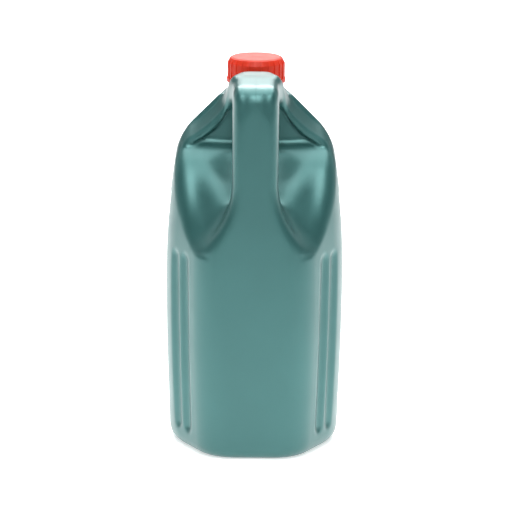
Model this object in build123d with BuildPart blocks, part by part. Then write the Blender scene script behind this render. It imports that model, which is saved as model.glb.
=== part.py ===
"""Five-litre motor oil bottle: a blow-moulded jug with a hollow handle, and its screw cap.

Frame: +Z up, the origin in the middle of the base. The handle is at -Y and the pouring side at +Y.
"""

import math
import os

from build123d import *

# ---- Body, in millimetres ----
wall = 1.3
body_depth = 200.0
front_y = -body_depth / 2
rear_y = body_depth / 2
handle_top_z = 290.0
# Half widths at five heights, evenly spaced from the base to the handle's top.
belly_half_widths = [64.6, 67.7, 68.8, 62.9, 50.0]
heel_radius = 12.0
# Plan corners: a long soft chamfer between each end face and side face.
corner_width = 30.2
corner_depth = 52.5
end_bend = 16.0
side_bend = 60.0

# ---- Neck ----
neck_y = 12.0
neck_radius = 17.4
neck_wall = 2.15
bore_radius = neck_radius - neck_wall
deck_z = handle_top_z - 20.0
rim_z = deck_z + 21.5
rim_chamfer = 0.6

# ---- Threads: the same lead on the neck and in the cap, half a lead apart ----
thread_lead = 4.2
thread_height = 1.6
thread_base = 2.2
thread_crest = 0.9
thread_root_bite = 0.3
radial_clearance = 0.6
neck_crest_radius = neck_radius + thread_height
neck_thread_z = deck_z + 10.0
neck_turns = 1.5
cap_turns = 1.25
# The bead over the tamper band.
bead_z = deck_z + 5.4
bead_height = 0.8

# ---- Cap ----
cap_inner_radius = neck_crest_radius + radial_clearance
cap_crest_radius = cap_inner_radius - thread_height
cap_wall = 2.1
flute_radius = cap_inner_radius + cap_wall
rib_height = 0.7
cap_radius = flute_radius + rib_height
cap_bead_radius = cap_radius + 0.6
cap_bead_height = 2.6
cap_bead_slope = 0.5
cap_foot_z = deck_z + 6.0
cap_roof = 1.6
bevel_width = 2.1
bevel_height = 4.6
face_step = 0.8
face_chamfer = 1.5
rib_count = 24
rib_arc = 4.5

# ---- Liner and tamper band ----
seat_gap = 0.3
liner_gap = 0.7
liner_thickness = 1.6
liner_z = rim_z + seat_gap
liner_radius = cap_inner_radius - liner_gap
cap_top_z = liner_z + liner_thickness + seat_gap + cap_roof
band_z = deck_z + 0.6
band_height = 4.2
band_wall = 1.6
band_radius = cap_radius - 1.0

# ---- Roof: four planes from the deck around the neck out past the walls ----
deck_half_width = neck_radius + 6.6
deck_front_y = front_y + 40.0
deck_rear_y = neck_y + neck_radius + 16.6
roof_height = 60.0
rear_pitch = 1.4
roof_taper = 0.061
eave_radius = 20.0
hip_radius = 16.0

# ---- Handle ----
handle_half_width = 17.5
post_thickness = 25.0
post_rear_y = front_y + post_thickness
bar_thickness = 24.0
bar_foot_z = handle_top_z - bar_thickness
bar_front_y = front_y + 40.0
knuckle_radius = 16.0
hole_corner = 12.0
handle_edge = 8.0
foot_edge = 1.5
flare_radius = 60.0
flare_angle = 60.0
flare_top_z = deck_z - 55.0
post_foot_z = deck_z - 120.0
# The saddle is the bar's wide rear end, just clear of the cap.
saddle_y = neck_y - cap_bead_radius - 3.5
saddle_half_width = cap_bead_radius + 1.0
saddle_crown = 15.0
throat_y = saddle_y - 12.5
throat_half_width = 20.0
throat_foot_z = deck_z - 20.0

# ---- Hand space: from the throat, over a ledge, down a slope and a scoop to the front face ----
ledge_z = deck_z - 39.0
ledge_width = 9.0
ledge_fall = 3.0
slope_y = throat_y - 16.0
slope_z = ledge_z - 17.0
step_y = front_y + 23.0
step_z = deck_z - 72.0
scoop_z = deck_z - 112.0
ledge_bend = 4.0
slope_bend = 14.0
step_bend = 8.0
space_margin = 20.0

# ---- Corner grooves, two up each front corner ----
groove_radius = 6.0
groove_depth = 2.0
groove_foot_z = 20.0
groove_top_z = deck_z - 118.0
groove_foot_half_width = 65.7
groove_top_half_width = 68.5
groove_shares = [0.5, 0.75]

neck_axis = Axis((0, neck_y, 0), (0, 0, 1))


def neck_section(angle=0.0):
    """A plane through the neck's axis: its own x runs outwards and its own y upwards."""
    turn = math.radians(angle)
    outwards = (math.cos(turn), math.sin(turn), 0)
    return Plane(origin=(0, neck_y, 0), x_dir=outwards, z_dir=(math.sin(turn), -math.cos(turn), 0))


def body_outline(half_width):
    """Half of a level section of the body, from the front face round to the rear face."""
    end_x = half_width - corner_width
    FilletPolyline(
        (0, front_y),
        (end_x, front_y),
        (half_width, front_y + corner_depth),
        (half_width, rear_y - corner_depth),
        (end_x, rear_y),
        (0, rear_y),
        radius=[end_bend, side_bend, side_bend, end_bend],
    )


def belly(inset):
    """The body's four upright walls, swelling at half height, with a rounded heel."""
    spacing = handle_top_z / (len(belly_half_widths) - 1)
    with BuildPart() as block:
        for level, half_width in enumerate(belly_half_widths):
            with BuildSketch(Plane.XY.offset(max(level * spacing, inset))):
                with BuildLine():
                    body_outline(half_width)
                    mirror(about=Plane.YZ)
                make_face()
                if inset:
                    offset(amount=-inset)
        loft()
        fillet(block.faces().sort_by(Axis.Z)[0].edges(), heel_radius - inset)
    return block.part


def roof_corners(drop):
    """The corners of a level section of the roof, this far below the deck."""
    front = deck_front_y - drop
    rear = deck_rear_y + rear_pitch * drop
    half_widths = [deck_half_width + drop - roof_taper * (y - deck_front_y) for y in (front, rear)]
    return [
        (-half_widths[0], front),
        (half_widths[0], front),
        (half_widths[1], rear),
        (-half_widths[1], rear),
    ]


def roof(inset):
    """The four sloping planes over the body: the side planes close in towards the rear."""
    top_z = deck_z - inset * math.sqrt(2)
    with BuildPart() as pyramid:
        for drop in (0, roof_height):
            with BuildSketch(Plane.XY.offset(top_z - drop)):
                with BuildLine():
                    Polyline(*roof_corners(drop), close=True)
                make_face()
        loft(ruled=True)
        hips = pyramid.edges().filter_by(Axis.Z, reverse=True).group_by(Axis.Z)[1]
        fillet(hips, hip_radius - inset)
        extrude(pyramid.faces().sort_by(Axis.Z)[0], amount=deck_z)
    return pyramid.part


def is_eave(edge):
    """Whether an edge is where the roof meets a wall."""
    middle = edge.position_at(0.5)
    in_reach = deck_z - 50 < middle.Z < deck_z - 18
    return in_reach and abs(edge.tangent_at(0.5).Z) < 0.62


def body_block(inset):
    """The body before the hand space is cleared, drawn in by inset on every side."""
    with BuildPart() as block:
        add(belly(inset))
        add(roof(inset), mode=Mode.INTERSECT)
        fillet([edge for edge in block.edges() if is_eave(edge)], eave_radius - inset)
    return block.part


def hand_space(inset):
    """What is cleared away behind and beside the handle, right across the body."""
    clear_y = front_y - space_margin
    clear_z = handle_top_z + space_margin
    with BuildPart() as space:
        with BuildSketch(Plane.YZ):
            with BuildLine():
                FilletPolyline(
                    (throat_y, clear_z),
                    (throat_y, ledge_z + ledge_fall),
                    (throat_y - ledge_width, ledge_z),
                    (slope_y, slope_z),
                    (step_y, step_z),
                    (front_y, scoop_z),
                    (clear_y, scoop_z - ledge_width),
                    (clear_y, clear_z),
                    close=True,
                    radius=[1, ledge_bend, ledge_bend, slope_bend, step_bend, ledge_bend, 1, 1],
                )
            make_face()
            if inset:
                offset(amount=inset)
        extrude(amount=body_depth, both=True)
    return space.part


def is_rim(edge):
    """Whether an edge of the post runs along the handle rather than across it."""
    middle = edge.position_at(0.5)
    across = abs(edge.tangent_at(0.5).Y) > 0.9 and middle.Z < flare_top_z + 1
    return abs(middle.X) > 1 and middle.Y < bar_front_y - 0.1 and not across


def post(inset):
    """The front of the handle: it flares into the front face below and turns back over a knuckle."""
    join_y = bar_front_y + inset
    with BuildPart() as upright:
        # Seen from the front: a straight post over two flaring arcs.
        with BuildSketch(Plane.XZ.offset(-bar_front_y)):
            with BuildLine():
                side = Line((handle_half_width, handle_top_z + 5), (handle_half_width, flare_top_z))
                flare_centre = (handle_half_width + flare_radius, flare_top_z)
                flare = CenterArc(flare_centre, flare_radius, 180, flare_angle)
                foot = Line(flare @ 1, ((flare @ 1).X, post_foot_z))
                Line(foot @ 1, (0, post_foot_z))
                Line(side @ 0, (0, handle_top_z + 5))
                mirror(about=Plane.YZ)
            make_face()
            if inset:
                offset(amount=-inset)
        extrude(amount=body_depth)
        # Seen from the side: the post turns over the knuckle into the bar.
        with BuildSketch(Plane.YZ):
            with BuildLine():
                FilletPolyline(
                    (join_y, handle_top_z),
                    (front_y, handle_top_z),
                    (front_y, post_foot_z),
                    (post_rear_y, post_foot_z),
                    (post_rear_y, bar_foot_z),
                    (join_y, bar_foot_z),
                    radius=[knuckle_radius, foot_edge, foot_edge, hole_corner],
                )
                Line((join_y, handle_top_z), (join_y, bar_foot_z))
            make_face()
            if inset:
                offset(amount=-inset)
        extrude(amount=body_depth, both=True, mode=Mode.INTERSECT)
        fillet([edge for edge in upright.edges() if is_rim(edge)], handle_edge - inset)
    return upright.part


def bar_outline(half_width, crown, inset):
    """Half of a section across the bar, with its top corner rounded by crown."""
    top_z = handle_top_z - inset
    foot_z = bar_foot_z + inset
    side_x = half_width - inset
    FilletPolyline(
        (0, foot_z),
        (side_x, foot_z),
        (side_x, top_z),
        (0, top_z),
        radius=[handle_edge - inset, crown - inset],
    )


def bar(inset):
    """The top of the handle: it widens into an arched saddle in front of the neck."""
    with BuildPart() as beam:
        with BuildSketch(Plane.XZ.offset(-bar_front_y)):
            with BuildLine():
                bar_outline(handle_half_width, handle_edge, inset)
                mirror(about=Plane.YZ)
            make_face()
        with BuildSketch(Plane.XZ.offset(inset - saddle_y)):
            with BuildLine():
                bar_outline(saddle_half_width, saddle_crown, inset)
                mirror(about=Plane.YZ)
            make_face()
        loft(ruled=True)
        # The way from the bar's hollow down into the body.
        with BuildSketch(Plane.XY.offset(throat_foot_z)):
            with Locations((0, (throat_y + saddle_y) / 2)):
                Rectangle(2 * (throat_half_width - inset), saddle_y - throat_y - 2 * inset)
        extrude(amount=handle_top_z - bar_thickness / 2 - throat_foot_z)
    return beam.part


def corner_groove(side, share, inset):
    """One upright groove with round ends, at this share of the way along a front corner."""
    normal = Vector(side * corner_depth, -corner_width, 0).normalized()
    stand_off = normal * (groove_radius - groove_depth)
    short_of_side = corner_width * (1 - share)
    groove_y = front_y + corner_depth * share
    foot = stand_off + Vector(side * (groove_foot_half_width - short_of_side), groove_y, groove_foot_z)
    head = stand_off + Vector(side * (groove_top_half_width - short_of_side), groove_y, groove_top_z)
    with BuildPart() as groove:
        with BuildSketch(Plane(origin=foot, z_dir=head - foot)):
            Circle(groove_radius + inset)
        extrude(amount=(head - foot).length)
        fillet(groove.edges().filter_by(GeomType.CIRCLE), groove_radius + inset - 0.01)
    return groove.part


def bottle_form(inset):
    """The closed form of the body and handle, drawn in by inset on every side."""
    with BuildPart() as form:
        add(body_block(inset))
        add(hand_space(inset), mode=Mode.SUBTRACT)
        add(post(inset) & belly(inset))
        add(bar(inset))
        for side in (1, -1):
            for share in groove_shares:
                add(corner_groove(side, share, inset), mode=Mode.SUBTRACT)
    return form.part


def thread(turns, start_z, root_radius, crest_radius):
    """A right-hand thread about the neck's axis, with a tapered tooth rooted in its wall."""
    rooted = root_radius + math.copysign(thread_root_bite, root_radius - crest_radius)
    start = (0, neck_y, start_z)
    path = Helix(pitch=thread_lead, height=thread_lead * turns, radius=root_radius, center=start)
    with BuildPart() as coil:
        with BuildSketch(neck_section()):
            with BuildLine():
                Polyline(
                    (rooted, start_z - thread_base / 2),
                    (crest_radius, start_z - thread_crest / 2),
                    (crest_radius, start_z + thread_crest / 2),
                    (rooted, start_z + thread_base / 2),
                    close=True,
                )
            make_face()
        sweep(path=path, is_frenet=True)
    return coil.part


# ---- Bottle: the blown shell with its moulded neck ----
with BuildPart() as bottle:
    add(bottle_form(0))
    add(bottle_form(wall), mode=Mode.SUBTRACT)
    with BuildSketch(neck_section()):
        with BuildLine():
            Polyline(
                (bore_radius, deck_z - wall),
                (neck_radius, deck_z - wall),
                (neck_radius, bead_z),
                (neck_crest_radius, bead_z),
                (neck_crest_radius, bead_z + bead_height / 2),
                (neck_radius, bead_z + bead_height * 1.5),
                (neck_radius, rim_z - rim_chamfer),
                (neck_radius - rim_chamfer, rim_z),
                (bore_radius, rim_z),
                close=True,
            )
        make_face()
    revolve(axis=neck_axis)
    with BuildSketch(Plane(origin=(0, neck_y, deck_z - neck_radius))):
        Circle(bore_radius)
    extrude(amount=2 * neck_radius, mode=Mode.SUBTRACT)
    add(thread(neck_turns, neck_thread_z, neck_radius, neck_crest_radius))
bottle.part.label = "bottle"

# ---- Cap: a fluted skirt over a plain bead ----
skirt_z = cap_foot_z + cap_bead_height
face_radius = cap_radius - bevel_width
with BuildPart() as cap:
    with BuildSketch(neck_section()):
        with BuildLine():
            Polyline(
                (0, cap_foot_z),
                (cap_bead_radius, cap_foot_z),
                (cap_bead_radius, skirt_z),
                (cap_radius, skirt_z + cap_bead_slope),
                (cap_radius, cap_top_z - bevel_height),
                (face_radius, cap_top_z - face_step),
                (face_radius - face_chamfer, cap_top_z),
                (0, cap_top_z),
                close=True,
            )
        make_face()
    revolve(axis=neck_axis)
    # The flutes between the grip ribs, up the side and over the bevel.
    for rib in range(rib_count):
        with BuildSketch(neck_section(360 / rib_count * rib)):
            with BuildLine():
                Polyline(
                    (flute_radius, skirt_z + cap_bead_slope),
                    (cap_bead_radius, skirt_z + cap_bead_slope),
                    (cap_bead_radius, cap_top_z + rib_height),
                    (face_radius, cap_top_z + rib_height),
                    (face_radius, cap_top_z - face_step),
                    (flute_radius, cap_top_z - bevel_height),
                    close=True,
                )
            make_face()
        revolve(axis=neck_axis, revolution_arc=360 / rib_count - rib_arc, mode=Mode.SUBTRACT)
    with BuildSketch(Plane(origin=(0, neck_y, cap_foot_z))):
        Circle(cap_inner_radius)
    extrude(amount=cap_top_z - cap_roof - cap_foot_z, mode=Mode.SUBTRACT)
    add(thread(cap_turns, neck_thread_z - thread_lead / 2, cap_inner_radius, cap_crest_radius))
cap.part.label = "cap"

# ---- Liner: the sealing wad between the rim and the cap's roof ----
with BuildPart() as cap_liner:
    with BuildSketch(Plane(origin=(0, neck_y, liner_z))):
        Circle(liner_radius)
    extrude(amount=liner_thickness)
cap_liner.part.label = "cap_liner"

# ---- Tamper band: the loose ring that stays under the neck's bead ----
with BuildPart() as tamper_band:
    with BuildSketch(Plane(origin=(0, neck_y, band_z))):
        Circle(band_radius)
        Circle(neck_radius + radial_clearance, mode=Mode.SUBTRACT)
    extrude(amount=band_height)
tamper_band.part.label = "tamper_band"

os.makedirs("parts", exist_ok=True)
export_step(bottle.part, "parts/bottle.step")
export_step(cap.part, "parts/cap.step")
export_step(cap_liner.part, "parts/cap_liner.step")
export_step(tamper_band.part, "parts/tamper_band.step")
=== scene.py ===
"""Motor oil bottle: a pearlescent teal jug with a red screw cap, on a pale studio floor."""

import math

import bmesh
import bpy
import numpy as np
from mathutils import Matrix, Vector


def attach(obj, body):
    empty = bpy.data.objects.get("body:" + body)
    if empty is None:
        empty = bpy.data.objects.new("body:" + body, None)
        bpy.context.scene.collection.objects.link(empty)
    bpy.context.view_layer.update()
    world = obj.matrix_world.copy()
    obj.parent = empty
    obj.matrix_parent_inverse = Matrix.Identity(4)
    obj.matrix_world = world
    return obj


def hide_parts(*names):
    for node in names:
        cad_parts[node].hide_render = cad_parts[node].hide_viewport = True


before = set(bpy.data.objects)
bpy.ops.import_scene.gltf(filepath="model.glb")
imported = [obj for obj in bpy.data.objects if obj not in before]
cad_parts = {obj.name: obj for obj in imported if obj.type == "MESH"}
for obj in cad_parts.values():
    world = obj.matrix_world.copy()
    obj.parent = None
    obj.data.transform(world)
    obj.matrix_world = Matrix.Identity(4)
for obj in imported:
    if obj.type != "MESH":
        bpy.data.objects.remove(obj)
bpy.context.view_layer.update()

# Forms are worked out in millimetres and scaled to metres when their meshes are made.
MM = 0.001

# ---- Body ----
HALF_DEPTH = 99.75
WALL = 1.3
BELLY_Z = 135.0
BELLY_HALF_WIDTH = 68.9
BASE_HALF_WIDTH = 64.7
SHOULDER_NARROWING = 8.4
SHOULDER_HEIGHT = 96.0
CORNER_WIDTH = 30.2
CORNER_DEPTH = 52.5
CORNER_SOFTNESS = 8.0
END_SOFTNESS = 15.0
HEEL = 12.0
PANEL_DEPTH = 0.8
PANEL_Y = (-40.0, 65.0)
PANEL_Z = (26.5, 199.0)
PANEL_EDGE = 3.0

# ---- Roof: heights named CREST are where a 45 degree side would meet the middle plane ----
DECK_Z = 270.0
DECK_REAR_Y = 46.0
REAR_PITCH = 1.4
ROOF_CREST = 297.3
ROOF_CREST_Y = -8.0
ROOF_FALL = 0.195
TERRACE_REAR_Y = -10.0
TERRACE_REAR_CREST = 292.8
TERRACE_FRONT_CREST = 286.6
TERRACE_FALL_Y = -12.0
TERRACE_FALL_RUN = 19.0
SADDLE_LIFT = 13.0
SADDLE_LIFT_Y = (-22.0, -12.0)

# ---- Neck ----
NECK_Y = 12.0
BORE_RADIUS = 15.25
NECK_RADIUS = 17.4
CREST_RADIUS = 19.0
RIM_Z = 291.5
RIM_CHAMFER = 0.6
BEAD_Z = 275.4
BEAD_HALF_HEIGHT = 0.4
THREAD_LEAD = 4.2
THREAD_Z = 280.0
THREAD_TURNS = 1.5
THREAD_BASE_HALF = 1.1
THREAD_BITE = 0.3
THREAD_TAPER = 0.342
THREAD_SLANT = 1.06
NECK_FOOT_Z = 268.0
NECK_SOFTNESS = 0.3
MOUTH_RADIUS = 16.0

# ---- Handle ----
TOP_Z = 290.0
SADDLE_DROP = 1.3
FLANK_SLOPE = 1.4
FLANK_CREST = 307.0
FLANK_CREST_RISE = 24.0
SADDLE_SPREAD = 8.0
HANDLE_HALF_WIDTH = 17.5
POST_REAR_Y = -75.0
BAR_FOOT_Z = 266.0
BAR_FRONT_Y = -60.0
SADDLE_Y = -14.5
FLARE_RADIUS = 60.0
FLARE_TOP_Z = 215.0
POST_FOOT_Z = 110.0
PARTING_HALF_WIDTH = 0.3
PARTING_HEIGHT = 0.22

# ---- Hand space, as points in the YZ plane from the throat down to the front face ----
THROAT_Y = -27.0
WEB_FRONT_Y = -33.0
WEB_CENTRE = (67.5, 281.0)
WEB_RADIUS = 50.0
LEDGE = (-36.0, 231.0)
SLOPE = (-42.0, 219.0)
STEP = (-77.0, 198.0)
SIDE_LIFT = 5.0
SCOOP_Z = 160.0
SCOOP_RATE = 0.70
SCOOP_LIP = 2.5
SCOOP_SET_BACK = 9.0
SCOOP_SLANT = 1.15

# ---- Corner grooves ----
GROOVE_SHARES = (0.5, 0.75)
GROOVE_RADIUS = 6.0
GROOVE_OFFSET = 4.0
GROOVE_FOOT = (65.7, 20.0)
GROOVE_HEAD = (68.5, 152.0)

# ---- Meshing ----
ROOT2 = math.sqrt(2)
OUTER_PITCH = 1.75
INNER_PITCH = 2.6
NECK_PITCH = 0.5

# ---- Colours ----
TEAL_DEEP = (0.034, 0.138, 0.134, 1)
TEAL_PALE = (0.045, 0.170, 0.164, 1)
RED_DEEP = (0.62, 0.028, 0.009, 1)
RED_PALE = (0.70, 0.040, 0.014, 1)
FOAM_DARK = (0.70, 0.69, 0.66, 1)
FOAM_LIGHT = (0.84, 0.83, 0.80, 1)

# ---- Studio, in metres ----
FLOOR_Y = 2.6
FLOOR_SIZE = 12
# Where the floor fades from painted shade in front to white with a painted glow by the bottle.
FLOOR_PAINTED_SHADE_Y = -0.85
FLOOR_WHITE_GLOW_Y = -0.30
CAMERA_PLACE = (0, -2.3, 0.695)
CAMERA_AIM = (0.0003, 0, 0.1387)
CAMERA_ROLL = 0.48
LENS = 211.9
SOFTBOXES = (
    # name, place, target, size, power
    ("top_light", (0, 0.35, 1.7), (0, 0.1, 0.1), 1.7, 30),
    ("front_light", (0, -1.3, 1.45), (0, -0.05, 0.2), 1.2, 26),
    ("left_light", (-1.5, 0.7, 0.9), (0, 0, 0.15), 1.2, 2.5),
    ("right_light", (1.5, 0.7, 0.9), (0, 0, 0.15), 1.2, 2.5),
    ("back_light", (0, 3.4, 2.4), (0, 2.0, 0), 2.5, 120),
)


# ------------------------------------------------------------------ distance fields

def smax(a, b, soft):
    """The greater of two distances, rounded off where they come within soft of each other."""
    near = np.maximum(soft - np.abs(a - b), 0.0)
    return np.maximum(a, b) + near * near / (4.0 * soft)


def smin(a, b, soft):
    """The lesser of two distances, filleted where they come within soft of each other."""
    return -smax(-a, -b, soft)


def rise(value, low, high):
    """A smooth rise from 0 at low to 1 at high."""
    t = np.clip((value - low) / (high - low), 0.0, 1.0)
    return t * t * (3.0 - 2.0 * t)


def line_side(u, v, point, toward):
    """Distance from a line through point, positive on the left looking along toward."""
    return ((v - point[1]) * toward[0] - (u - point[0]) * toward[1]) / math.hypot(*toward)


def capsule(x, y, z, start, end, radius):
    """Distance from a round-ended rod."""
    axis = np.subtract(end, start)
    along = ((x - start[0]) * axis[0] + (y - start[1]) * axis[1] + (z - start[2]) * axis[2]) / axis.dot(axis)
    along = np.clip(along, 0.0, 1.0)
    dx, dy, dz = (p - s - along * a for p, s, a in zip((x, y, z), start, axis))
    return np.sqrt(dx * dx + dy * dy + dz * dz) - radius


def belly_half_width(z):
    """The half width at a height: a gentle barrel, widest at the belly."""
    below = BELLY_HALF_WIDTH - (BELLY_HALF_WIDTH - BASE_HALF_WIDTH) * ((BELLY_Z - z) / BELLY_Z) ** 2
    above = BELLY_HALF_WIDTH - SHOULDER_NARROWING * ((z - BELLY_Z) / SHOULDER_HEIGHT) ** 2
    return np.where(z < BELLY_Z, below, above)


def panel(y, z):
    """1 over the label panel on each side, 0 around it."""
    (front, rear), (foot, head) = PANEL_Y, PANEL_Z
    along = rise(y, front, front + PANEL_EDGE) * (1.0 - rise(y, rear - PANEL_EDGE, rear))
    return along * rise(z, foot, foot + PANEL_EDGE) * (1.0 - rise(z, head - PANEL_EDGE, head))


def corner_side(ax, y, z):
    """Distance inwards from the corner faces."""
    across = ax - belly_half_width(z)
    return line_side(across, np.abs(y), (-CORNER_WIDTH, HALF_DEPTH), (-CORNER_WIDTH, CORNER_DEPTH))


def walls(ax, y, z):
    """The upright walls: bellied sides with label panels, corner faces and end faces."""
    side = ax - belly_half_width(z) + PANEL_DEPTH * panel(y, z)
    return smax(smax(side, -corner_side(ax, y, z), CORNER_SOFTNESS), np.abs(y) - HALF_DEPTH, END_SOFTNESS)


def roof(ax, y, z):
    """The roof: it falls towards the rear, with a lower terrace along its front edge."""
    sides = (ax + z - ROOF_CREST + ROOF_FALL * (y - ROOF_CREST_Y)) / ROOT2
    back = TERRACE_REAR_CREST + 0.02 * np.maximum(ax - 38.0, 0.0) ** 2
    front = TERRACE_FRONT_CREST + 0.012 * np.clip(ax - 33.0, -20.0, 40.0) ** 2
    crest = back - (back - front) * np.clip((TERRACE_FALL_Y - y) / TERRACE_FALL_RUN, 0.0, 1.0)
    terrace = smin((ax + z - crest) / ROOT2, TERRACE_REAR_Y - y, 2.5)
    sides = smax(sides, terrace, 2.0)
    rear = line_side(y, z, (DECK_REAR_Y, DECK_Z), (-REAR_PITCH, 1.0))
    deck = z - DECK_Z - SADDLE_LIFT * (1.0 - rise(y, *SADDLE_LIFT_Y))
    return smax(smax(sides, -rear, 8.0), deck, 3.0)


def kept(ax, y, z):
    """What the hand space leaves: throat, ledge, slope and a scoop, further back beside the corners."""
    ledge = line_side(y, z, LEDGE, (9.0, 3.0))
    lift = SIDE_LIFT * rise(ax, 18.0, 45.0)
    drop = line_side(y, z - lift, SLOPE, (LEDGE[0] - SLOPE[0], LEDGE[1] - SLOPE[1]))
    fall = (SLOPE[0] - STEP[0], SLOPE[1] - STEP[1])
    slope = line_side(y, z - lift * rise(y, STEP[0], SLOPE[0]), STEP, fall)
    above = z - SCOOP_Z
    start = np.minimum(2.0 * above, 0.0) + SCOOP_LIP * rise(above, -4.0, 4.0)
    set_back = SCOOP_SET_BACK * rise(ax, 22.0, 50.0) * rise(above, -6.0, 18.0)
    scoop = (-y - HALF_DEPTH + SCOOP_RATE * smax(above, 0.0, 20.0) + start + set_back) / SCOOP_SLANT
    upper = smax(ledge, drop, 4.0 + 10.0 * rise(ax, 20.0, 50.0))
    lower = smax(slope, scoop, 6.0)
    web = np.hypot(ax - WEB_CENTRE[0], z - WEB_CENTRE[1]) - WEB_RADIUS
    throat = smin(THROAT_Y - y, smax(WEB_FRONT_Y - y, web, 2.5), 2.5)
    return smin(smin(upper, lower, 8.0), throat, 4.0)


def handle(ax, y, z):
    """The handle: a flaring post, a knuckle and a bar whose flanks lean out at the saddle."""
    back = rise(y, BAR_FRONT_Y, SADDLE_Y)
    top = z - TOP_Z + SADDLE_DROP * back
    flank = (FLANK_SLOPE * ax + z - FLANK_CREST - FLANK_CREST_RISE * (1.0 - back)) / 1.72
    top = smax(top, flank, 6.5)
    hole = smax(POST_REAR_Y - y, z - BAR_FOOT_Z, 12.0)
    band = smax(top, -hole, 2.0)
    band = smax(band, y - SADDLE_Y, 5.0)
    band = smax(band, POST_FOOT_Z - z, 4.0)
    fall = np.clip(FLARE_TOP_Z - z, 0.0, FLARE_RADIUS * 0.88)
    chord = np.sqrt(FLARE_RADIUS ** 2 - fall ** 2)
    width = HANDLE_HALF_WIDTH + FLARE_RADIUS - chord + SADDLE_SPREAD * back
    side = (ax - width) * chord / FLARE_RADIUS
    return smax(band, side, 9.0)


def grooves(ax, y, z):
    """Two upright grooves on each front corner."""
    outward = np.array([CORNER_DEPTH, -CORNER_WIDTH]) / math.hypot(CORNER_WIDTH, CORNER_DEPTH)
    found = None
    for share in GROOVE_SHARES:
        short = CORNER_WIDTH * (1 - share)
        groove_y = -HALF_DEPTH + CORNER_DEPTH * share + outward[1] * GROOVE_OFFSET
        foot, head = (
            (half_width - short + outward[0] * GROOVE_OFFSET, groove_y, end_z)
            for half_width, end_z in (GROOVE_FOOT, GROOVE_HEAD)
        )
        rod = capsule(ax, y, z, foot, head, GROOVE_RADIUS)
        found = rod if found is None else np.minimum(found, rod)
    return found


def bottle_form(x, y, z):
    """Signed distance, near enough, from the bottle's outer skin without its neck."""
    ax = np.abs(x)
    wall = walls(ax, y, z)
    inner = smax(kept(ax, y, z), roof(ax, y, z), 3.0)
    form = smin(inner, handle(ax, y, z), 9.0)
    form = smax(form, wall, 9.0 + 7.0 * rise(z, 262.0, 275.0) * (1.0 - rise(ax, 7.0, 15.0)))
    form = smax(form, -z, HEEL)
    return smax(form, -grooves(ax, y, z), 2.5)


def thread_tooth(x, y, z, radius):
    """The neck's right-hand thread, a tapered tooth of one and a half turns."""
    turn = np.arctan2(y - NECK_Y, x) / (2 * math.pi)
    place = turn + np.clip(np.round((z - THREAD_Z) / THREAD_LEAD - turn), 0.0, 2.0)
    off_line = np.abs(z - THREAD_Z - THREAD_LEAD * place)
    slope = (off_line - THREAD_BASE_HALF + THREAD_TAPER * (radius - NECK_RADIUS + THREAD_BITE)) / THREAD_SLANT
    tooth = np.maximum(radius - CREST_RADIUS, slope)
    past_ends = np.maximum(-place, place - THREAD_TURNS) * 2 * math.pi * NECK_RADIUS
    return np.maximum(tooth, past_ends)


def neck_form(x, y, z):
    """Signed distance from the neck: a ring with a bead for the tamper band, and its thread."""
    radius = np.hypot(x, y - NECK_Y)
    chamfer = (radius + z - NECK_RADIUS - RIM_Z + RIM_CHAMFER) / ROOT2
    outer = np.maximum(radius - NECK_RADIUS, chamfer)
    over_bead = (2 * (z - BEAD_Z - BEAD_HALF_HEIGHT) + radius - CREST_RADIUS) / 2.24
    bead = np.maximum(BEAD_Z - z, over_bead)
    outer = smin(outer, np.maximum(bead, radius - CREST_RADIUS), NECK_SOFTNESS)
    outer = smin(outer, thread_tooth(x, y, z, radius), 0.4)
    ends = np.maximum(z - RIM_Z, NECK_FOOT_Z - z)
    return smax(smax(outer, BORE_RADIUS - radius, NECK_SOFTNESS), ends, NECK_SOFTNESS)


# ------------------------------------------------------------------ meshing

def lattice(low, high, pitch):
    """Sample positions that cover a range with a margin of two steps."""
    return np.arange(low - 2 * pitch, high + 2 * pitch, pitch)


def surface_net(field, xs, ys, zs):
    """The zero surface of a sampled field: points, and quads that face outwards."""
    inside = field < 0
    shape = tuple(n - 1 for n in field.shape)
    total = np.zeros(shape + (3,))
    count = np.zeros(shape)
    corners = [(i, j, k) for i in (0, 1) for j in (0, 1) for k in (0, 1)]

    def at(array, corner):
        return array[tuple(slice(c, c + n) for c, n in zip(corner, shape))]

    for axis in range(3):
        for corner in corners:
            if corner[axis]:
                continue
            other = tuple(c + (a == axis) for a, c in enumerate(corner))
            near, far = at(field, corner), at(field, other)
            crosses = at(inside, corner) != at(inside, other)
            share = np.where(crosses, near / np.where(crosses, near - far, 1.0), 0.0)
            for a in range(3):
                total[..., a] += crosses * (corner[a] + (share if a == axis else 0.0))
            count += crosses
    used = count > 0
    index = np.full(shape, -1)
    index[used] = np.arange(used.sum())
    cells = np.argwhere(used)
    local = total[used] / count[used][:, None]
    points = np.empty_like(local)
    for a, line in enumerate((xs, ys, zs)):
        start = line[cells[:, a]]
        points[:, a] = start + local[:, a] * (line[cells[:, a] + 1] - start)

    quads = []
    for axis in range(3):
        u, v = (axis + 1) % 3, (axis + 2) % 3
        lower = [slice(1, n) for n in shape]
        upper = list(lower)
        lower[axis], upper[axis] = slice(0, shape[axis]), slice(1, shape[axis] + 1)
        first = inside[tuple(lower)]
        flips = first != inside[tuple(upper)]
        spots = np.argwhere(flips) + [1 if a != axis else 0 for a in range(3)]
        du, dv = np.eye(3, dtype=int)[u], np.eye(3, dtype=int)[v]
        ring = [spots, spots - du, spots - du - dv, spots - dv]
        quad = np.stack([index[tuple(r.T)] for r in ring], axis=1)
        outward = first[flips]
        quads.append(np.where(outward[:, None], quad, quad[:, ::-1]))
    return points, np.concatenate(quads)


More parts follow.
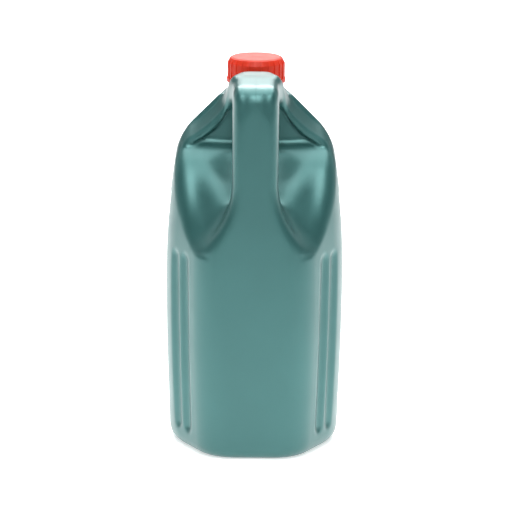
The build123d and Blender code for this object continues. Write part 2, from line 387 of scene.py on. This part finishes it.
def settle(form, points, level, rounds=4):
    """Moves points onto the surface where form equals level."""
    reach = 0.05
    for _ in range(rounds):
        here = form(*points.T) - level
        slope = np.stack([
            (form(*(points + reach * e).T) - form(*(points - reach * e).T)) / (2 * reach) for e in np.eye(3)
        ], axis=1)
        points = points - slope * (here / np.maximum((slope ** 2).sum(axis=1), 0.2))[:, None]
    return points


def skin(form, level, pitch, low=(-70.0, -101.0, 0.0), high=(70.0, 101.0, 291.0)):
    """A mesh of the surface where form equals level."""
    xs, ys, zs = (lattice(a, b, pitch) for a, b in zip(low, high))
    grid = np.meshgrid(xs, ys, zs, indexing="ij", sparse=True)
    points, quads = surface_net(form(*grid) - level, xs, ys, zs)
    return settle(form, points, level), quads


def open_mouth(points, quads):
    """Cuts the round hole under the neck, and gives the loop of points around it."""
    across, along = points[:, 0], points[:, 1] - NECK_Y
    radius = np.hypot(across, along)
    over = (radius < NECK_RADIUS - 0.2) & (points[:, 2] > NECK_FOOT_Z - 3.0)
    quads = quads[~over[quads].all(axis=1)]
    edges = np.concatenate([quads[:, [a, (a + 1) % 4]] for a in range(4)])
    one_way = set(map(tuple, edges.tolist()))
    follows = {a: b for a, b in one_way if (b, a) not in one_way}
    loop = [next(iter(follows))]
    while follows[loop[-1]] != loop[0]:
        loop.append(follows[loop[-1]])
    out = np.maximum(MOUTH_RADIUS / radius[loop], 1.0)
    points[loop, 0] = across[loop] * out
    points[loop, 1] = NECK_Y + along[loop] * out
    return quads, loop


def bridge(points, first, second):
    """Triangles between two loops that both run round the neck."""
    def ordered(loop):
        around = np.arctan2(points[loop, 1] - NECK_Y, points[loop, 0])
        if np.mean(np.angle(np.exp(1j * (np.roll(around, -1) - around)))) < 0:
            loop = loop[::-1]
            around = around[::-1]
        start = int(np.argmin(around))
        loop = loop[start:] + loop[:start]
        around = np.unwrap(np.roll(around, -start))
        return loop + loop[:1], list(around) + [around[0] + 2 * math.pi]

    (one, one_at), (two, two_at) = ordered(first), ordered(second)
    faces, i, j = [], 0, 0
    while i < len(one) - 1 or j < len(two) - 1:
        if j == len(two) - 1 or (i < len(one) - 1 and one_at[i + 1] <= two_at[j + 1]):
            faces.append((one[i], one[i + 1], two[j]))
            i += 1
        else:
            faces.append((one[i], two[j + 1], two[j]))
            j += 1
    return faces


def face_outwards(piece):
    """Turns every face of a closed mesh outwards."""
    work = bmesh.new()
    work.from_mesh(piece.data)
    bmesh.ops.recalc_face_normals(work, faces=work.faces)
    work.to_mesh(piece.data)
    work.free()


def mesh_object(name, points, faces, material):
    """A smooth-shaded object from points in millimetres."""
    mesh = bpy.data.meshes.new(name)
    mesh.from_pydata((np.asarray(points) * MM).tolist(), [], [list(map(int, f)) for f in faces])
    mesh.validate()
    mesh.polygons.foreach_set("use_smooth", [True] * len(mesh.polygons))
    mesh.materials.append(material)
    piece = bpy.data.objects.new(name, mesh)
    bpy.context.scene.collection.objects.link(piece)
    return piece


# ------------------------------------------------------------------ materials

def new_material(name):
    """An empty node material and its shader."""
    material = bpy.data.materials.new(name)
    material.use_nodes = True
    nodes = material.node_tree.nodes
    return material, nodes, material.node_tree.links, nodes["Principled BSDF"]


def noise(nodes, links, scale, detail=2.0):
    """Noise over the object's own coordinates."""
    place = nodes.new("ShaderNodeTexCoord")
    grain = nodes.new("ShaderNodeTexNoise")
    grain.inputs["Scale"].default_value = scale
    grain.inputs["Detail"].default_value = detail
    links.new(place.outputs["Object"], grain.inputs["Vector"])
    return grain.outputs["Fac"]


def blend(nodes, links, factor, low, high):
    """A colour that runs from low to high with factor."""
    mix = nodes.new("ShaderNodeMix")
    mix.data_type = "RGBA"
    mix.inputs["A"].default_value = low
    mix.inputs["B"].default_value = high
    links.new(factor, mix.inputs["Factor"])
    return mix.outputs["Result"]


def spread(nodes, links, factor, low, high):
    """A number that runs from low to high as noise goes from 0.3 to 0.7."""
    span = nodes.new("ShaderNodeMapRange")
    span.inputs["From Min"].default_value = 0.3
    span.inputs["From Max"].default_value = 0.7
    span.inputs["To Min"].default_value = low
    span.inputs["To Max"].default_value = high
    links.new(factor, span.inputs["Value"])
    return span.outputs["Result"]


def bump(nodes, links, height, strength, distance):
    """A bump made from height."""
    relief = nodes.new("ShaderNodeBump")
    relief.inputs["Strength"].default_value = strength
    relief.inputs["Distance"].default_value = distance
    links.new(height, relief.inputs["Height"])
    return relief.outputs["Normal"]


def teal_plastic():
    """Pearlescent blown plastic: fine flake in a slow drift of colour, faintly orange-peeled."""
    material, nodes, links, shader = new_material("teal_pearl")
    drift = noise(nodes, links, 14.0)
    flake = noise(nodes, links, 2600.0)
    pearl = nodes.new("ShaderNodeMix")
    pearl.data_type = "RGBA"
    pearl.blend_type = "OVERLAY"
    pearl.inputs["Factor"].default_value = 0.12
    links.new(blend(nodes, links, drift, TEAL_DEEP, TEAL_PALE), pearl.inputs["A"])
    links.new(blend(nodes, links, flake, (0.2, 0.2, 0.2, 1), (0.8, 0.8, 0.8, 1)), pearl.inputs["B"])
    links.new(pearl.outputs["Result"], shader.inputs["Base Color"])
    links.new(spread(nodes, links, noise(nodes, links, 60.0), 0.38, 0.44), shader.inputs["Roughness"])
    links.new(bump(nodes, links, noise(nodes, links, 420.0, 3.0), 0.05, 0.0004), shader.inputs["Normal"])
    shader.inputs["Metallic"].default_value = 0.6
    shader.inputs["Coat Weight"].default_value = 0.6
    shader.inputs["Coat Roughness"].default_value = 0.35
    return material


def red_plastic():
    """Satin injection-moulded red with a faint grain."""
    material, nodes, links, shader = new_material("red_moulded")
    drift = noise(nodes, links, 40.0)
    links.new(blend(nodes, links, drift, RED_DEEP, RED_PALE), shader.inputs["Base Color"])
    links.new(spread(nodes, links, noise(nodes, links, 150.0), 0.42, 0.5), shader.inputs["Roughness"])
    links.new(bump(nodes, links, noise(nodes, links, 900.0), 0.06, 0.0003), shader.inputs["Normal"])
    shader.inputs["Specular IOR Level"].default_value = 0.3
    shader.inputs["Subsurface Weight"].default_value = 0.12
    shader.inputs["Subsurface Scale"].default_value = 0.003
    return material


def white_foam():
    """The cap's pressed foam wad."""
    material, nodes, links, shader = new_material("white_foam")
    cells = noise(nodes, links, 1400.0)
    links.new(blend(nodes, links, cells, FOAM_DARK, FOAM_LIGHT), shader.inputs["Base Color"])
    links.new(bump(nodes, links, cells, 0.2, 0.0003), shader.inputs["Normal"])
    shader.inputs["Roughness"].default_value = 0.85
    return material


def paint_node(name, material):
    """Gives a carried-over CAD node its material."""
    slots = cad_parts[name].data.materials
    if not slots:
        slots.append(material)
    for place in range(len(slots)):
        slots[place] = material


# ------------------------------------------------------------------ studio

def studio():
    """A pale floor under broad softboxes. It is painted greyer in front as painted shade, and it glows by the
    bottle as painted light.
    """
    scene = bpy.context.scene
    scene.view_settings.view_transform = "Standard"
    world = bpy.data.worlds.new("studio")
    world.use_nodes = True
    background = world.node_tree.nodes["Background"]
    background.inputs["Color"].default_value = (0.8, 0.85, 0.88, 1)
    background.inputs["Strength"].default_value = 0.10
    scene.world = world

    bpy.ops.mesh.primitive_plane_add(size=FLOOR_SIZE, location=(0, FLOOR_Y, 0))
    floor = bpy.context.object
    floor.name = "floor"
    floor.data.materials.append(floor_with_painted_light())

    for name, place, target, size, power in SOFTBOXES:
        softbox(name, place, target, size, power)


def floor_with_painted_light():
    """White by the object and behind it, greyer in front beyond the camera's view. The grey is painted shade
    for the bottle's front faces to reflect. The emission is a painted glow that fills the bottle's shadow and
    lights its lower faces from below.
    """
    material, nodes, links, shader = new_material("floor_white_painted_glow")
    place = nodes.new("ShaderNodeTexCoord")
    axes = nodes.new("ShaderNodeSeparateXYZ")
    shade_and_glow_fade = nodes.new("ShaderNodeMapRange")
    shade_and_glow_fade.interpolation_type = "SMOOTHSTEP"
    shade_and_glow_fade.inputs["From Min"].default_value = FLOOR_PAINTED_SHADE_Y - FLOOR_Y
    shade_and_glow_fade.inputs["From Max"].default_value = FLOOR_WHITE_GLOW_Y - FLOOR_Y
    # Painted shade: the floor's colour runs from grey in front to white by the bottle.
    painted_shade_tint = nodes.new("ShaderNodeMix")
    painted_shade_tint.data_type = "RGBA"
    painted_shade_tint.inputs["A"].default_value = (0.62, 0.62, 0.62, 1)
    painted_shade_tint.inputs["B"].default_value = (0.93, 0.93, 0.93, 1)
    # Painted light: the floor glows by the bottle and behind it, fading out in front.
    painted_glow = nodes.new("ShaderNodeMath")
    painted_glow.operation = "MULTIPLY"
    painted_glow.inputs[1].default_value = 0.60
    links.new(place.outputs["Object"], axes.inputs[0])
    links.new(axes.outputs["Y"], shade_and_glow_fade.inputs["Value"])
    links.new(shade_and_glow_fade.outputs["Result"], painted_shade_tint.inputs["Factor"])
    links.new(painted_shade_tint.outputs["Result"], shader.inputs["Base Color"])
    links.new(shade_and_glow_fade.outputs["Result"], painted_glow.inputs[0])
    links.new(painted_glow.outputs[0], shader.inputs["Emission Strength"])
    shader.inputs["Emission Color"].default_value = (1, 1, 1, 1)
    shader.inputs["Roughness"].default_value = 0.9
    return material


def softbox(name, place, target, size, power):
    """A square light at a place, turned to its target."""
    lamp = bpy.data.lights.new(name, "AREA")
    lamp.size = size
    lamp.energy = power
    light = bpy.data.objects.new(name, lamp)
    light.location = place
    light.rotation_euler = (Vector(target) - Vector(place)).to_track_quat("-Z", "Y").to_euler()
    bpy.context.scene.collection.objects.link(light)
    return light


def camera():
    """The photo's view: from in front and above, through a long lens, with a slight roll."""
    lens = bpy.data.cameras.new("camera")
    lens.sensor_width = 36.0
    lens.lens = LENS
    view = bpy.data.objects.new("camera", lens)
    place = Vector(CAMERA_PLACE)
    view.location = place
    turn = (Vector(CAMERA_AIM) - place).to_track_quat("-Z", "Y").to_matrix().to_4x4()
    view.rotation_euler = (turn @ Matrix.Rotation(math.radians(CAMERA_ROLL), 4, "Z")).to_euler()
    bpy.context.scene.collection.objects.link(view)
    bpy.context.scene.camera = view


# ------------------------------------------------------------------ build

def build_parting_line(teal):
    """The fine raised line where the mould's halves met, along the top of the handle."""
    y = np.concatenate([np.linspace(-17.0, -88.0, 60), np.linspace(-88.5, -101.0, 26)])
    z = TOP_Z - np.maximum(-88.0 - y, 0.0) ** 2 / 13.0
    line = settle(bottle_form, np.stack([0 * y, y, z], axis=1), 0.0, 12)
    ahead = np.gradient(line, axis=0)
    out = np.stack([0 * y, ahead[:, 2], -ahead[:, 1]], axis=1)
    out /= np.linalg.norm(out, axis=1)[:, None]
    half = PARTING_HALF_WIDTH
    section = ((-half, -half), (0.0, PARTING_HEIGHT), (half, -half))
    rings = [line + out * up + np.array([across, 0, 0]) for across, up in section]
    points = np.stack(rings, axis=1).reshape(-1, 3)
    last = len(line) - 1
    faces = [(0, 1, 2), (3 * last + 2, 3 * last + 1, 3 * last)]
    for i in range(last):
        for a in range(3):
            b = (a + 1) % 3
            faces.append((3 * i + a, 3 * i + b, 3 * i + 3 + b, 3 * i + 3 + a))
    ridge = mesh_object("bottle_parting_line", points, faces, teal)
    face_outwards(ridge)
    return ridge


def build_bottle():
    """The blown shell, open at its mouth, with the neck ring standing on it."""
    outer, outer_quads = skin(bottle_form, 0.0, OUTER_PITCH)
    inner, inner_quads = skin(bottle_form, -WALL, INNER_PITCH)
    outer_quads, outer_loop = open_mouth(outer, outer_quads)
    inner_quads, inner_loop = open_mouth(inner, inner_quads)
    points = np.concatenate([outer, inner])
    faces = outer_quads.tolist() + (inner_quads[:, ::-1] + len(outer)).tolist()
    faces += bridge(points, outer_loop, [i + len(outer) for i in inner_loop])
    teal = teal_plastic()
    shell = mesh_object("bottle_shell", points, faces, teal)
    face_outwards(shell)
    reach = CREST_RADIUS + 1.0
    low, high = (-reach, NECK_Y - reach, NECK_FOOT_Z), (reach, NECK_Y + reach, RIM_Z)
    ring, ring_quads = skin(neck_form, 0.0, NECK_PITCH, low, high)
    neck = mesh_object("bottle_neck", ring, ring_quads, teal)
    for piece in (shell, neck, build_parting_line(teal)):
        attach(piece, "bottle")
    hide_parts("bottle")


camera()
studio()
build_bottle()
red = red_plastic()
paint_node("cap", red)
paint_node("tamper_band", red)
paint_node("cap_liner", white_foam())
